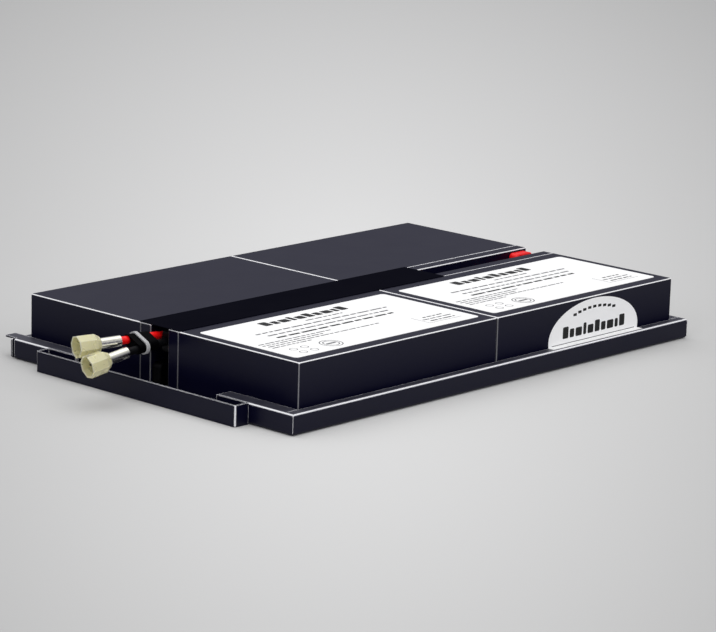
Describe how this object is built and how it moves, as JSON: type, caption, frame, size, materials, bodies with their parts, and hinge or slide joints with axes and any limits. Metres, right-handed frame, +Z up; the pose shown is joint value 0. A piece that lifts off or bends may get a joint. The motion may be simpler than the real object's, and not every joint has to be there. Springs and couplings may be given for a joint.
{
  "type": "ups battery cartridge",
  "caption": "Tray of sealed batteries that slides into a rack-mount UPS, with a pull bracket and two output leads ending in insulated push-on connectors.",
  "frame": {"origin": "middle of the flat underside of the tray, without the ear on its lip", "axes": "+X along the tray away from the connectors and the pull bracket, +Y towards the unlabelled row of batteries, +Z up through the batteries"},
  "size_m": [0.363, 0.2186, 0.0358],
  "materials": {
    "painted_steel": "black powder coat, slightly glossy",
    "case_plastic": "black moulded battery case, satin",
    "lid_plastic": "black moulded lid, satin",
    "label": "white film label with grey and black print as plain shapes",
    "strip": "black insulating film, matt",
    "tape": "off-white foam tape",
    "red_wire": "red insulation, satin",
    "black_wire": "black insulation, satin",
    "sleeving": "black sleeving, matt",
    "tie_nylon": "white nylon",
    "plated_brass": "tin-plated brass, slightly dull",
    "red_boot": "red vinyl boot",
    "black_boot": "black vinyl boot",
    "housing_nylon": "pale yellow translucent nylon"
  },
  "bodies": {
    "root": {"black_housing": "housing_nylon", "black_lead": "black_wire", "black_terminal": "plated_brass", "boot_negative_1": "black_boot", "boot_negative_2": "black_boot", "boot_negative_3": "red_boot", "boot_negative_4": "black_boot", "boot_positive_1": "black_boot", "boot_positive_2": "red_boot", "boot_positive_3": "black_boot", "boot_positive_4": "red_boot", "cable_tie": "tie_nylon", "case_1": "case_plastic", "case_2": "case_plastic", "case_3": "case_plastic", "case_4": "case_plastic", "cover_strip": "strip", "jumper_back": "black_wire", "jumper_end": "red_wire", "jumper_front": "black_wire", "lead_sleeve": "sleeving", "lid_1": "lid_plastic", "lid_2": "lid_plastic", "lid_3": "lid_plastic", "lid_4": "lid_plastic", "mounting_tape": "tape", "negative_tab_1": "plated_brass", "negative_tab_2": "plated_brass", "negative_tab_3": "plated_brass", "negative_tab_4": "plated_brass", "positive_tab_1": "plated_brass", "positive_tab_2": "plated_brass", "positive_tab_3": "plated_brass", "positive_tab_4": "plated_brass", "pull_bracket": "painted_steel", "receptacle_negative_1": "plated_brass", "receptacle_negative_2": "plated_brass", "receptacle_negative_3": "plated_brass", "receptacle_negative_4": "plated_brass", "receptacle_positive_1": "plated_brass", "receptacle_positive_2": "plated_brass", "receptacle_positive_3": "plated_brass", "receptacle_positive_4": "plated_brass", "red_housing": "housing_nylon", "red_lead": "red_wire", "red_terminal": "plated_brass", "seal_label": "label", "top_label_left": "label", "top_label_right": "label", "tray": "painted_steel", "vent_cover_1": "lid_plastic", "vent_cover_2": "lid_plastic", "vent_cover_3": "lid_plastic", "vent_cover_4": "lid_plastic"}
  },
  "joints": []
}
